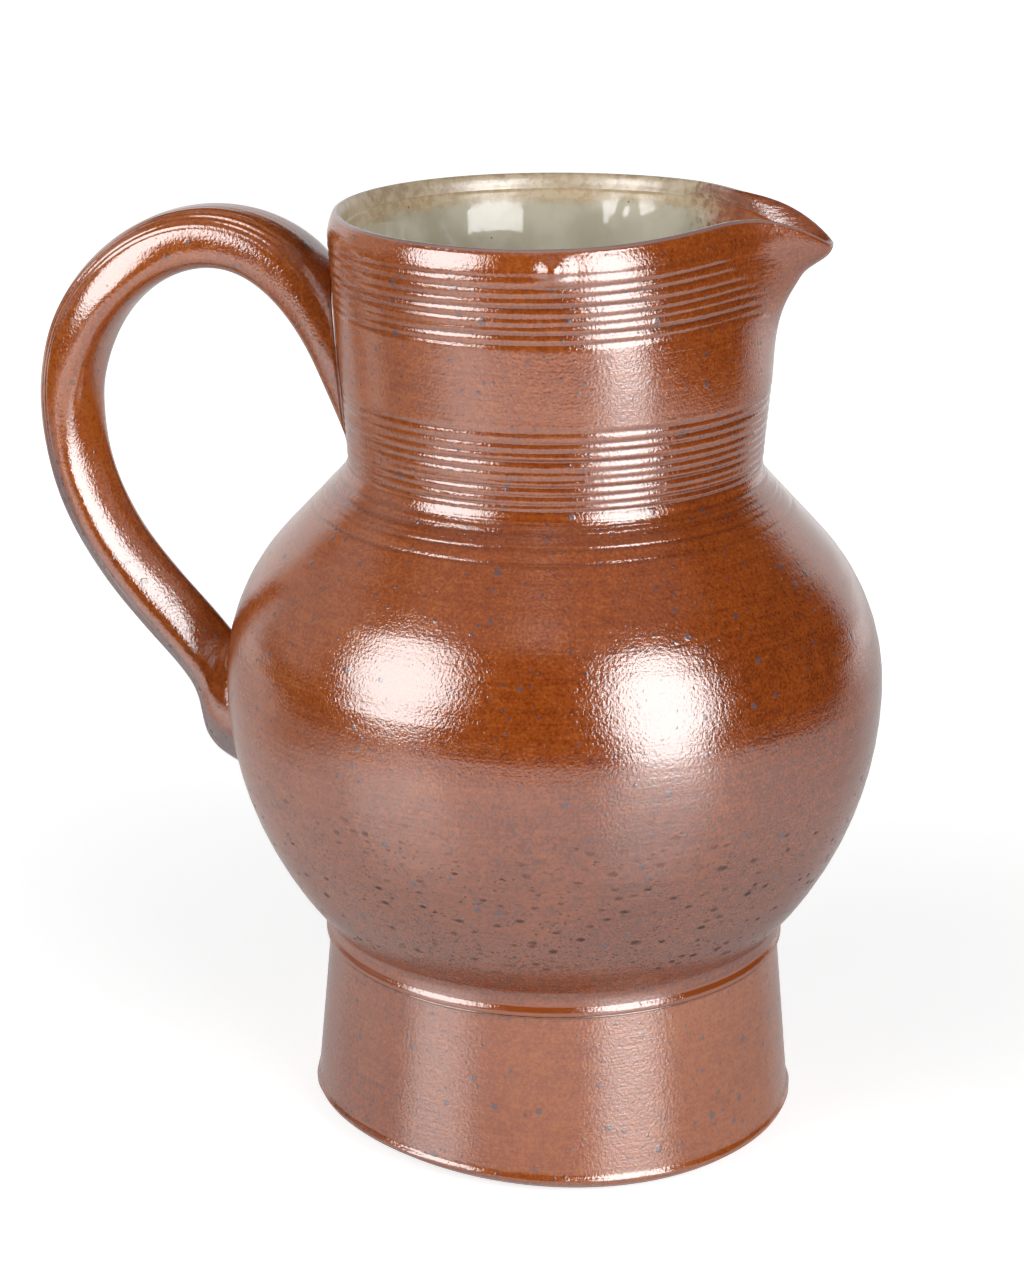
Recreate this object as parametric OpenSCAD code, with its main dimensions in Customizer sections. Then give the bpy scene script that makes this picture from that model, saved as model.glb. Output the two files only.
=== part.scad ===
// Salt-glazed stoneware pitcher: a thrown jug luted on to a flared foot, with a pulled spout and handle.
// The axis of the jug is Z, the table is z = 0, the spout points along +X and the handle stands at -X.

/* [Body] */
// Height of the rim above the table
rim_z = 254; // [239:1:272]
// Outer radius of the belly at its widest
belly_r = 90; // [82:0.5:98]
// Height of the widest part of the belly
belly_z = 125; // [116:1:132]
// Slope of the straight shoulder, measured from upright
shoulder_angle = 43; // [38:0.5:48]
// Height of the crease between shoulder and neck
crease_z = 185; // [178:1:194]
// Outer radius of the neck at the crease
neck_r = 55.6; // [50:0.2:60]
// Outer radius of the rim
rim_r = 61.4; // [57:0.2:66]
// Thickness of the thrown wall
wall = 6.2; // [4.5:0.1:8]
// Thickness of the floor
floor_t = 9; // [6:0.5:12]
// Radius of the inside corner round the floor
floor_round = 14; // [8:0.5:20]

/* [Collar over the foot] */
// Radius of the collar, over its bead
collar_r = 65; // [64.5:0.1:68]
// Radius of the bead's round section
bead_r = 2.2; // [1.5:0.1:2.8]
// Radius of the waist where the belly grows out of the collar
waist_r = 63.4; // [62:0.1:64]
// Height of the waist above the underside of the collar
waist_rise = 4.9; // [4.6:0.1:6]

/* [Foot] */
// Height of the foot
foot_h = 50.2; // [42:0.2:58]
// Radius of the foot at its top
foot_top_r = 63.6; // [61:0.1:64]
// Radius of the ridge round the base
foot_base_r = 68.2; // [66:0.1:73]
// Height of that ridge above the table
ridge_z = 3; // [2:0.2:6]
// Width of the bevel under the ridge
base_bevel = 2; // [1:0.1:3]
// Thickness of the foot's wall
foot_wall = 8.5; // [6:0.1:12]

/* [Turned grooves] */
// Depth of a groove
groove_depth = 0.6; // [0.3:0.05:0.9]
// Spacing of the grooves
groove_pitch = 2.4; // [1.8:0.05:2.6]
// Number of grooves low on the neck
low_grooves = 9; // [4:1:10]
// Height of the lowest groove above the crease
low_groove_rise = 3.5; // [3:0.1:8]
// Number of grooves under the rim
high_grooves = 8; // [4:1:10]
// Distance from the rim down to the highest groove
high_groove_drop = 6.5; // [6:0.5:9]
// Number of shallow tool lines on the shoulder
shoulder_lines = 3; // [0:1:5]

/* [Spout] */
// How far the lip is drawn out beyond the rim
spout_reach = 18.5; // [10:0.5:24]
// How far the tip of the lip dips below the rim
spout_dip = 8.3; // [3:0.1:10]
// Half width of that dip, as an angle round the neck
dip_angle = 10.5; // [8:0.5:16]
// Half width of the lip, as an angle round the neck
spout_angle = 15.5; // [9:0.5:18]
// Distance below the rim at which the pull begins
spout_pull = 44; // [40:0.5:45]
// How sharply the pull turns outward near the lip
spout_curl = 3.2; // [2:0.05:3.5]
// How far the rim is pinched in beside the lip
pinch_depth = 6.6; // [0:0.2:7]
// How far the rim is lifted where it is pinched
pinch_rise = 2.4; // [0:0.1:4]
// Angle from the lip to each pinch
pinch_angle = 27; // [18:1:40]
// Half width of a pinch, as an angle round the neck
pinch_width = 42; // [24:1:50]

/* [Handle] */
// Distance from the jug's axis to the back of the handle
handle_reach = 145.2; // [136:0.2:156]
// Height of the handle's back above the crease
reach_rise = 9.5; // [0:0.5:20]
// Thickness of the strap at its back
strap_t = 16.8; // [14:0.1:20]
// Width of the strap
strap_w = 22; // [18:0.5:28]
// Fullness of the strap's section: 1 is an oval, and less comes nearer to a rounded box
strap_full = 0.84; // [0.75:0.01:1]
// Width of the strap where it spreads on the neck
root_w = 28; // [24:0.5:34]
// Width of the tail pressed on to the belly
tail_w = 25; // [20:0.5:30]
// Height of the upper root's top edge above the crease
root_top = 51; // [46:0.5:56]
// Height of the upper root's lower edge above the crease
root_foot = 2; // [2:0.5:8]
// How far the strap springs out from the neck
spring_out = 30; // [24:0.5:36]
// How far the strap springs up from the neck
spring_up = 34.5; // [28:0.5:40]
// Height of the tail's top edge above the widest part of the belly
tail_top = 2; // [0:0.5:10]
// Depth of the tail's lower edge below the widest part of the belly
tail_foot = 36; // [32:0.5:42]
// How far the heel of the strap stands off the belly
heel_proud = 15.5; // [13:0.5:20]
// Depth of the heel below the widest part of the belly
heel_drop = 9; // [6:0.5:14]
// Lean of the strap as it comes down to the heel, measured from level
heel_lean = 55.5; // [48:0.5:62]
// Height of the long ridges pulled along the back of the strap
ridge_h = 0.5; // [0:0.05:0.8]
// Number of those ridges
ridges = 3; // [2:1:4]

/* [Slip and glaze] */
// Thickness of the slip in the luted seams
slip_t = 0.8; // [0.5:0.05:1.2]
// How far the slip is squeezed out of a seam
slip_bead = 1; // [0.5:0.1:1.5]
// Thickness of the liner glaze
glaze_t = 0.6; // [0.4:0.05:1]
// Distance from the rim's round down to the edge of the liner glaze
glaze_drop = 0.5; // [0.3:0.1:4]

/* [Hidden] */
$fn = 96;

// The body stands on the slip that lies on the foot
seat_z = foot_h + slip_t;
bead_c = [collar_r - bead_r, seat_z + bead_r];
waist = [waist_r, seat_z + waist_rise];

// Belly below its widest part: one arc through the waist, upright at the widest part
low_arc_r = (pow(belly_z - waist.y, 2) + pow(belly_r - waist.x, 2)) / (2 * (belly_r - waist.x));
low_arc_c = [belly_r - low_arc_r, belly_z];
// Shoulder: an arc from the widest part, then a straight cone at shoulder_angle to the crease
shoulder_rise = crease_z - belly_z;
shoulder_cot = 1 / tan(shoulder_angle);
high_arc_r = (shoulder_rise - shoulder_cot * (belly_r - neck_r))
    / (sin(shoulder_angle) - shoulder_cot * (1 - cos(shoulder_angle)));
high_arc_c = [belly_r - high_arc_r, belly_z];

// The neck is turned true up to the height where the spout's pull begins
pull_z = rim_z - spout_pull;
floor_z = seat_z + floor_t;
// Depth to which the pulled collar is sunk into the turned wall, and its inset there
scarf_t = 1;
scarf_inset = 0.1;
// Height over which the pulled collar comes out flush with the turned wall
scarf_rise = 1.5;
// Clearance between a slip pad and the wall that it is luted to
fit_gap = 0.05;

// Round sections of the lofted forms
around = 72;
// How far the sections round the neck crowd towards the spout
crowding = 0.4;
strap_around = 28;
root_steps = 18;
back_steps = 14;
tail_steps = 8;
pad_steps = 3;

function arc(c, r, from, to, n) = [for (i = [0 : n]) let (a = from + (to - from) * i / n)
    c + r * [cos(a), sin(a)]];
function rest(v) = [for (i = [1 : len(v) - 1]) v[i]];
function flip(v) = [for (i = [len(v) - 1 : -1 : 0]) v[i]];
function mix(a, b, t) = a * (1 - t) + b * t;
// Points inside a rounded corner b between a and c
function bend(a, b, c, n) = [for (i = [1 : n - 1]) mix(mix(a, b, i / n), mix(b, c, i / n), i / n)];
function cubic(p, t) = mix(mix(mix(p[0], p[1], t), mix(p[1], p[2], t), t),
    mix(mix(p[1], p[2], t), mix(p[2], p[3], t), t), t);
function bump(a, width) = exp(-pow(a / width, 2));

// Radius of the neck's cone, and of the whole outer wall, at a height
function neck_at(z) = neck_r + (rim_r - neck_r) * (z - crease_z) / (rim_z - crease_z);
function shoulder_at(z) = let (turn = belly_z + high_arc_r * sin(shoulder_angle))
    z < turn ? high_arc_c.x + sqrt(pow(high_arc_r, 2) - pow(z - belly_z, 2))
    : neck_r + (crease_z - z) * tan(shoulder_angle);
function wall_at(z) = z > crease_z ? neck_at(z)
    : z > belly_z ? shoulder_at(z)
    : low_arc_c.x + sqrt(pow(low_arc_r, 2) - pow(z - belly_z, 2));

// Angle on the lower arc, below level, at a height
function low_angle(z, r) = -asin((belly_z - z) / r);

// Faces of a closed ring of sections, of a loft with closed ends, and its end fans
function quad(a, b, c, d) = [[a, c, b], [a, d, c]];
function band_faces(i, k, n) = [for (j = [0 : n - 1])
    each quad(i * n + j, i * n + (j + 1) % n, k * n + (j + 1) % n, k * n + j)];
function hoop_faces(m, n) = [for (i = [0 : m - 1]) each band_faces(i, (i + 1) % m, n)];
function loft_faces(m, n) = concat(
    [for (i = [0 : m - 2]) each band_faces(i, i + 1, n)],
    [for (j = [1 : n - 2]) [0, j, j + 1]],
    [for (j = [1 : n - 2]) [(m - 1) * n, (m - 1) * n + j + 1, (m - 1) * n + j]]);

// Outer and inner profiles of the turned part of the body
function groove(z) = [[neck_at(z - groove_pitch / 3), z - groove_pitch / 3],
    [neck_at(z) - groove_depth, z],
    [neck_at(z + groove_pitch / 3), z + groove_pitch / 3]];
function tool_line(z) = [[wall_at(z - groove_pitch / 4), z - groove_pitch / 4],
    [wall_at(z) - groove_depth / 2, z],
    [wall_at(z + groove_pitch / 4), z + groove_pitch / 4]];
cove_z = waist.y + bead_r;
body_outside = concat([[0, seat_z]],
    arc(bead_c, bead_r, -90, 45, 9),
    bend(bead_c + bead_r * [cos(45), sin(45)], waist, [wall_at(cove_z), cove_z], 5),
    arc(low_arc_c, low_arc_r, low_angle(cove_z, low_arc_r), 0, 16),
    rest(arc(high_arc_c, high_arc_r, 0, shoulder_angle, 14)),
    [for (i = [shoulder_lines : -1 : 1]) each tool_line(crease_z - i * groove_pitch)],
    [[neck_r, crease_z]],
    [for (i = [0 : low_grooves - 1]) let (z = crease_z + low_groove_rise + i * groove_pitch)
        if (z + groove_pitch / 2 < pull_z) each groove(z)],
    [[neck_at(pull_z), pull_z]]);
// Profile at a depth below the outer face, from the top of the neck down to the middle of the floor
function inside_profile(depth, base_z) = let (
    low_r = low_arc_r - depth,
    high_r = high_arc_r - depth,
    turn = high_arc_c + high_r * [cos(shoulder_angle), sin(shoulder_angle)],
    round_a = low_angle(base_z + floor_round, low_r),
    corner_r = low_arc_c.x + sqrt(pow(low_r, 2) - pow(belly_z - base_z, 2)))
    concat([[neck_at(pull_z) - depth, pull_z]],
        [[neck_r - depth, turn.y + (turn.x - neck_r + depth) * shoulder_cot]],
        arc(high_arc_c, high_r, shoulder_angle, 0, 14),
        rest(arc(low_arc_c, low_r, 0, round_a, 12)),
        bend(low_arc_c + low_r * [cos(round_a), sin(round_a)], [corner_r, base_z],
            [corner_r - floor_round, base_z], 6),
        [[corner_r - floor_round, base_z], [0, base_z]]);

// Pulled collar: s is the inset from the outer face, h the height from the pull's start (0) to the rim (1)
function around_spout(a) = a > 180 ? 360 - a : a;
function lip(a) = bump(around_spout(a), spout_angle);
function lip_dip(a) = spout_dip * bump(around_spout(a), dip_angle);
function pinch(a) = bump(around_spout(a) - pinch_angle, pinch_width);
function collar_point(a, s, h) = let (
    top = rim_z + pinch_rise * pinch(a) - lip_dip(a),
    pull = max(h, 0),
    r = neck_at(pull_z + h * spout_pull) - s
        + pow(pull, spout_curl) * spout_reach * lip(a) - pow(pull, 2) * pinch_depth * pinch(a))
    [r * cos(a), r * sin(a), pull_z + h * (top - pull_z)];
function crowded(t) = t - crowding * sin(t) * 180 / PI;
function collar_hoop(section) = [for (q = section) for (j = [0 : around - 1])
    let (a = crowded(360 * j / around)) collar_point(a, q[0] * (q[2] ? 1 - lip(a) : 1), q[1])];
function below_rim(mm) = 1 - mm / spout_pull;
// Each section point is [inset, height, whether it fades out at the spout]
high_groove_low = high_groove_drop + (high_grooves - 1) * groove_pitch;
collar_outside = concat(
    [[scarf_inset, -scarf_t / spout_pull, false], [0, scarf_rise / spout_pull, false]],
    [for (i = [1 : 3]) [0, below_rim(high_groove_low + groove_pitch / 2) * i / 3, false]],
    [for (i = [0 : 2 * high_grooves - 1])
        [i % 2 == 0 ? groove_depth : 0, below_rim(high_groove_low - i * groove_pitch / 2), true]]);
rim_round = wall / 2;
collar_rim = [for (p = arc([rim_round, -rim_round], rim_round, 180, 0, 6)) [p.x, below_rim(-p.y), false]];
glaze_edge = rim_round + glaze_drop;
inside_steps = 6;
inside_heights = concat(
    [for (i = [0 : inside_steps - 1]) below_rim(mix(glaze_edge, spout_pull, i / inside_steps))],
    [scarf_rise / spout_pull]);
function inside_section(depth) = [for (h = inside_heights) [depth, h, false]];
function scarf_foot(depth) = [[depth, -scarf_t / spout_pull, false]];
collar_section = concat(collar_outside, collar_rim, inside_section(wall), scarf_foot(wall - scarf_inset));
liner_section = concat(scarf_foot(wall + scarf_inset), flip(inside_section(wall)),
    inside_section(wall + glaze_t), scarf_foot(wall + glaze_t - scarf_inset));

// How far each curve of the handle runs on before it turns: up and down from its back and its grip,
// along the lean of the strap, out from the web on the neck, and round the end of the tail
back_rise = 48;
back_fall = 41.5;
grip_rise = 30;
grip_fall = 37.5;
grip_lift = 2.5;
lean_pull = 20.5;
heel_pull = 13.5;
grip_pull = 21;
web_out = 21;
web_up = 81;
tail_out = 24;
tail_up = 6.5;
// Share of the grip line that is done when the back line reaches the heel
heel_share = 0.93;
// Share of the upper run over which the root narrows to the strap
root_share = 0.4;
// How much narrower the strap is at its heel
strap_taper = 1;

// Handle: its back line and its grip line in the plane of the spout, and the wall that its two ends lie on
function on_wall(z, off) = [-(wall_at(z) + off), z];
function upper_end(z) = on_wall(crease_z + z, slip_t);
function lower_end(z) = on_wall(belly_z + z, slip_t);
back_mid = [-handle_reach, crease_z + reach_rise];
grip_mid = [-handle_reach + strap_t, crease_z + reach_rise + grip_lift];
heel = [-(wall_at(belly_z - heel_drop) + heel_proud), belly_z - heel_drop];
lean = [-cos(heel_lean), sin(heel_lean)];
root_tip = upper_end(root_top);
root_start = upper_end(root_foot);
tail_tip = lower_end(-tail_foot);
tail_start = lower_end(tail_top);
back_upper = [root_tip, root_tip + [-spring_out, spring_up], back_mid + [0, back_rise], back_mid];
back_lower = [back_mid, back_mid - [0, back_fall], heel + lean_pull * lean, heel];
back_tail = [heel, heel - heel_pull * lean, tail_tip + [-tail_out, tail_up], tail_tip];
grip_upper = [root_start, root_start + [-web_out, web_up], grip_mid + [0, grip_rise], grip_mid];
grip_lower = [grip_mid, grip_mid - [0, grip_fall], tail_start + grip_pull * lean, tail_start];

// One section: back and grip points, and the strap's width there
function strap_sections() = concat(
    [for (i = [1 : root_steps - 1]) let (t = i / root_steps)
        [cubic(back_upper, t), cubic(grip_upper, t), mix(root_w, strap_w, min(1, t / root_share))]],
    [for (i = [0 : back_steps - 1]) let (t = i / back_steps)
        [cubic(back_lower, t), cubic(grip_lower, t * heel_share), strap_w - strap_taper * t]],
    [for (i = [0 : tail_steps - 1]) let (t = i / tail_steps)
        [cubic(back_tail, t), cubic(grip_lower, mix(heel_share, 1, t)),
            mix(strap_w - strap_taper, tail_w, t)]]);
// Long ridges stand on the back half of the section
function ridge_at(a) = ridge_h * max(0, cos(a)) * cos(2 * ridges * a);
function full(v) = sign(v) * pow(abs(v), strap_full);
function strap_ring(back, grip, width) = let (mid = (back + grip) / 2, half = (back - grip) / 2)
    [for (j = [0 : strap_around - 1]) let (a = 360 * j / strap_around,
        p = mid + half * (1 + ridge_at(a) / norm(half)) * full(cos(a)))
        [p.x, width / 2 * full(sin(a)), p.y]];
// A ring of the footprint that the strap leaves on the wall, grown or shrunk about its middle
function foot_ring(grip_z, back_z, width, grow, spread, off) = let (half = (back_z - grip_z) / 2)
    [for (j = [0 : strap_around - 1]) let (a = 360 * j / strap_around,
        y = (width / 2 * grow + spread) * sin(a),
        z = (grip_z + back_z) / 2 + (half * grow + sign(half) * spread) * cos(a),
        r = wall_at(z) + off)
        [-sqrt(r * r - y * y), y, z]];
function upper_ring(grow, spread, off) =
    foot_ring(crease_z + root_foot, crease_z + root_top, root_w, grow, spread, off);
function lower_ring(grow, spread, off) =
    foot_ring(belly_z + tail_top, belly_z - tail_foot, tail_w, grow, spread, off);
pad_grow = [for (i = [0 : pad_steps]) mix(0.1, 1, i / pad_steps)];

module thrown_body() {
    color([0.55, 0.31, 0.20])
    union() {
        rotate_extrude() polygon(concat(body_outside, inside_profile(wall, floor_z)));
        polyhedron(collar_hoop(collar_section), hoop_faces(len(collar_section), around));
    }
}

module pedestal_foot() {
    color([0.60, 0.38, 0.27])
    rotate_extrude()
        polygon([[foot_base_r - base_bevel, 0], [foot_base_r, ridge_z], [foot_top_r, foot_h],
            [foot_top_r - foot_wall, foot_h], [foot_base_r - foot_wall, 0]]);
}

module handle() {
    color([0.58, 0.34, 0.22])
    polyhedron(concat(
        [for (g = pad_grow) each upper_ring(g, 0, slip_t)],
        [for (q = strap_sections()) each strap_ring(q[0], q[1], q[2])],
        [for (g = flip(pad_grow)) each lower_ring(g, 0, slip_t)]),
        loft_faces(2 * (pad_steps + 1) + len(strap_sections()), strap_around));
}

module foot_luting() {
    color([0.36, 0.20, 0.13])
    rotate_extrude()
        polygon(concat([[foot_top_r - foot_wall, foot_h]],
            arc([foot_top_r + slip_bead - slip_t / 2, foot_h + slip_t / 2], slip_t / 2, -90, 90, 6),
            [[foot_top_r - foot_wall, seat_z]]));
}

module handle_upper_luting() {
    color([0.36, 0.20, 0.13])
    polyhedron(concat(
        [for (g = pad_grow) each upper_ring(g, 0, fit_gap)],
        upper_ring(1, slip_bead, fit_gap),
        upper_ring(1, slip_bead, slip_t / 2),
        [for (g = flip(pad_grow)) each upper_ring(g, 0, slip_t)]),
        loft_faces(2 * (pad_steps + 2), strap_around));
}

module handle_lower_luting() {
    color([0.36, 0.20, 0.13])
    polyhedron(concat(
        [for (g = pad_grow) each lower_ring(g, 0, slip_t)],
        lower_ring(1, slip_bead, slip_t / 2),
        lower_ring(1, slip_bead, fit_gap),
        [for (g = flip(pad_grow)) each lower_ring(g, 0, fit_gap)]),
        loft_faces(2 * (pad_steps + 2), strap_around));
}

module liner_glaze() {
    color([0.63, 0.60, 0.50])
    union() {
        rotate_extrude() polygon(concat(inside_profile(wall, floor_z),
            flip(inside_profile(wall + glaze_t, floor_z + glaze_t))));
        polyhedron(collar_hoop(liner_section), hoop_faces(len(liner_section), around));
    }
}

thrown_body();
pedestal_foot();
handle();
foot_luting();
handle_upper_luting();
handle_lower_luting();
liner_glaze();
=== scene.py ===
import math

import bpy
import numpy as np
from mathutils import Matrix, Vector


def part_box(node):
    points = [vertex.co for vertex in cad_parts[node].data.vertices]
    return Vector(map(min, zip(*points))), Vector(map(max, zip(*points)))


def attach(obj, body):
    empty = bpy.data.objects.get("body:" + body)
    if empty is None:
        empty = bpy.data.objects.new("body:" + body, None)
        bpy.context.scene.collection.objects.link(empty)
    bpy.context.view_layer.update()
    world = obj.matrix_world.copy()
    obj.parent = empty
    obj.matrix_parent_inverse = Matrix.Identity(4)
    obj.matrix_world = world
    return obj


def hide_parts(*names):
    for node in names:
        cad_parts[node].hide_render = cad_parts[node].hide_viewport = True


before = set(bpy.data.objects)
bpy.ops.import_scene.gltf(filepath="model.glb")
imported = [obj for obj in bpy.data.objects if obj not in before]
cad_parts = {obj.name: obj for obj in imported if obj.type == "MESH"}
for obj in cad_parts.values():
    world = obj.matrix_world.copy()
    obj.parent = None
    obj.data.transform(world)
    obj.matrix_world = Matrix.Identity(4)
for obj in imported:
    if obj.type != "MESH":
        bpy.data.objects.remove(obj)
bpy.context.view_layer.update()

mm = 0.001  # shapes are worked out in millimetres and put into the meshes in metres
print("frame loaded with", len(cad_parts), "nodes")


def nodeBox(node):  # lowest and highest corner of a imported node, in millimetres
    low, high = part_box(node)
    return np.array(low) / mm, np.array(high) / mm


footTop = nodeBox("pedestal_foot")[1][2]
bellyRadius = nodeBox("thrown_body")[1][1]
baseRadius = nodeBox("pedestal_foot")[1][1]
handleReach = -nodeBox("handle")[0][0]

# the jug's own measures: rises of belly, crease and rim are counted from the top of the foot, and those of
# bead, hollow, waist, cove and hip from the top of the slip
jug = {
    "slip": 0.8,  # slip between foot and body
    "bellyRise": 74.8,
    "creaseRise": 134.8,
    "rimRise": 203.8,
    "creaseSoft": 1.6,  # how soft the corner between shoulder and neck is
    "shoulderAngle": 43,  # slope of the shoulder from upright, degrees
    "neckRadius": 55.6,
    "rimRadius": 61.4,
    "floor": 9,
    "floorRound": 14,
    "collarRadius": 64.3,  # the low bead where the body stands on the foot
    "beadFoot": 0.3,  # round of its lowest edge
    "beadFace": 1.0,  # top of its upright face above the slip
    "flareRise": 2.6,  # top of the slope above it
    "slopeBow": 0.4,  # how far that slope bows up
    "hollowRadius": 63.6,
    "hollowRise": 4.3,  # where the upright hollow turns out into the belly
    "waistRadius": 64.3,
    "waistRise": 7.0,
    "coveRise": 8.0,  # where the belly leaves the hollow above the bead
    "hipRise": 14.5,  # a low swelling round the foot of the belly
    "hipHeight": 0.1,
    "hipWidth": 4.5,
    "spiralHeight": 0.03,  # throwing marks that climb the belly
    "spiralPitch": 6.5,
    "bellyWander": 0.2,  # how far the wall strays from round
    "neckWander": 0.15,
    "lean": 1.1,  # how far the foot stands aside of the neck
    "leanAngle": 12,
    "around": 224,  # columns round the jug
}
seatZ = footTop + jug["slip"]
bellyZ = footTop + jug["bellyRise"]
creaseZ = footTop + jug["creaseRise"]
rimZ = footTop + jug["rimRise"]
floorZ = seatZ + jug["floor"]
waistZ = seatZ + jug["waistRise"]
coveZ = seatZ + jug["coveRise"]
shoulderTurn = math.radians(jug["shoulderAngle"])
leanWay = np.array([math.cos(math.radians(jug["leanAngle"])), math.sin(math.radians(jug["leanAngle"])), 0])

# belly below its widest part: an arc through the waist, upright at the widest part
lowArc = ((bellyZ - waistZ) ** 2 + (bellyRadius - jug["waistRadius"]) ** 2) / (
    2 * (bellyRadius - jug["waistRadius"]))
# shoulder: an arc from the widest part that runs into a straight cone up to the crease
shoulderCot = 1 / math.tan(shoulderTurn)
highArc = (creaseZ - bellyZ - shoulderCot * (bellyRadius - jug["neckRadius"])) / (
    math.sin(shoulderTurn) - shoulderCot * (1 - math.cos(shoulderTurn)))
turnZ = bellyZ + highArc * math.sin(shoulderTurn)


def bump(offset, width):  # a smooth hill: e to the minus square of offset over width
    return np.exp(-(offset / width) ** 2)


def smooth(value, start, end):  # an S-curve from 0 at start to 1 at end
    t = np.clip((value - start) / (end - start), 0, 1)
    return t * t * (3 - 2 * t)


def neckAt(z):  # the neck's cone: a straight line from the crease to the rim
    return jug["neckRadius"] + (jug["rimRadius"] - jug["neckRadius"]) * (z - creaseZ) / (rimZ - creaseZ)


def wallAt(z):  # outer radius of the jug at a height: low arc, shoulder arc, cone, neck
    z = np.asarray(z, float)
    low = bellyRadius - lowArc + np.sqrt(np.maximum(lowArc ** 2 - (z - bellyZ) ** 2, 0))
    high = bellyRadius - highArc + np.sqrt(np.maximum(highArc ** 2 - (z - bellyZ) ** 2, 0))
    cone = jug["neckRadius"] + (creaseZ - z) * math.tan(shoulderTurn)
    soft = (cone + neckAt(z) + np.sqrt((cone - neckAt(z)) ** 2 + jug["creaseSoft"] ** 2)) / 2
    return np.select([z > turnZ, z > bellyZ], [soft, high], low)


def aside(angle, degrees):  # degrees round from a direction, from minus 180 to 180
    return (np.degrees(angle) - degrees + 180) % 360 - 180


def wander(angle, z, size, seed):  # a hand-made unevenness: a few long waves round and up the piece
    waves = np.random.default_rng(seed)
    total = 0
    for turns in (2, 3, 5):
        lean, phase = waves.uniform(-0.03, 0.03), waves.uniform(0, 2 * math.pi)
        total = total + np.cos(turns * angle + lean * z + phase) / turns
    return size * total


def surface(name, rows, closed=False, start=None, end=None, **fields):
    # a grid of rows round a piece becomes a closed mesh: rows joined in a hoop, or closed by a point at
    # each end. Fields are one number for each grid point, kept as attributes for the materials
    m, n = rows.shape[:2]
    index = np.arange(m * n).reshape(m, n)
    below = index if closed else index[:-1]
    above = np.roll(index, -1, 0) if closed else index[1:]
    quads = np.stack([below, np.roll(below, -1, 1), np.roll(above, -1, 1), above], -1).reshape(-1, 4)
    points, fans = [rows.reshape(-1, 3)], []
    ends = [] if closed else [(start, index[0]), (end, index[-1])]
    for k, (point, ring) in enumerate(ends):  # a fan of triangles closes each end
        points.append(np.asarray(point, float)[None])
        pair = [np.roll(ring, -1), ring]
        fans.append(np.stack([np.full(n, m * n + k), *(pair[::-1] if k else pair)], -1))
    points = np.concatenate(points)
    # lower points stand further aside
    points = points + jug["lean"] * np.maximum(1 - points[:, 2:] / creaseZ, 0) * leanWay
    corners = points[quads]
    # six times the signed volume, from the two triangles of each quad
    volume = np.einsum("ij,ij->", corners[:, 0], np.cross(corners[:, 1], corners[:, 2]))
    volume += np.einsum("ij,ij->", corners[:, 0], np.cross(corners[:, 2], corners[:, 3]))
    faces = quads.tolist() + [f for fan in fans for f in fan.tolist()]
    if volume < 0:
        faces = [f[::-1] for f in faces]
    mesh = bpy.data.meshes.new(name)
    mesh.from_pydata((points * mm).tolist(), [], faces)
    for label, values in fields.items():
        column = np.zeros(len(points), np.float32)
        column[:m * n] = np.broadcast_to(values, (m, n)).ravel()
        mesh.attributes.new(label, "FLOAT", "POINT").data.foreach_set("value", column)
    mesh.shade_smooth()
    mesh.update()
    piece = bpy.data.objects.new(name, mesh)
    bpy.context.scene.collection.objects.link(piece)
    print("made", name, "with", len(faces), "faces")
    return piece


def rings(radius, z, angle):  # rows of points from radius and height, each one number a row or a whole grid
    shape = np.broadcast_shapes(np.shape(radius), np.shape(z), angle.shape)
    grid = np.empty(shape + (3,))
    grid[..., 0], grid[..., 1], grid[..., 2] = radius * np.cos(angle), radius * np.sin(angle), z
    return grid


def upright(values):  # a list of one number a row, shaped to meet the angles of a grid
    return np.asarray(values, float)[:, None]


# the combed lines of the neck and the tool lines of the shoulder
comb = {
    "depth": 0.4,
    "width": 0.72,
    "highDrops": (6.7, 9.4, 11.9, 14.5, 16.9, 19.1, 21.4, 23.7),  # lines under the rim, from its edge down
    "lowRises": (22.5, 19.8, 17.4, 14.8, 12.4, 10.2, 8.1, 5.9, 3.5, 1.7),  # lines above the crease
    "shoulderRises": (-0.7, -1.5, -2.6, -3.5, -4.3, -5.2, -6.6, -9.6),  # fine lines below it
    "shoulderDepth": 0.25,
    "shoulderWidth": 0.34,
    "faintRises": (31, 33.4, 36.5, 22, -14, -21),  # lines on the belly, from its widest part
    "faintDepth": 0.035,
    "faintWidth": 0.5,
    "strongAngle": -45,  # where the comb pressed hardest
    "strongWidth": 48,
    "fade": 0.42,  # how much shallower the lines are on the far side
    "lean": 0.6,  # how far the lines climb towards the spout
    "drift": 0.2,  # how far the lines stray up and down together on their way round
    "stray": 0.12,  # and each by itself
    "depthRange": (0.7, 0.55),  # least depth of a line, and what chance adds to it
    "depthWaves": ((2, 1.7, 0.22), (5, 2.9, 0.15)),  # waves round, shift by line, share of the depth
    "lipEnd": (14, 36),  # degrees beside the lip where the lowest and the highest upper line end
}
highLines = rimZ - np.array(comb["highDrops"])
lowLines = creaseZ + np.array(comb["lowRises"])
shoulderLines = creaseZ + np.array(comb["shoulderRises"])
faintLines = bellyZ + np.array(comb["faintRises"])


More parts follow.
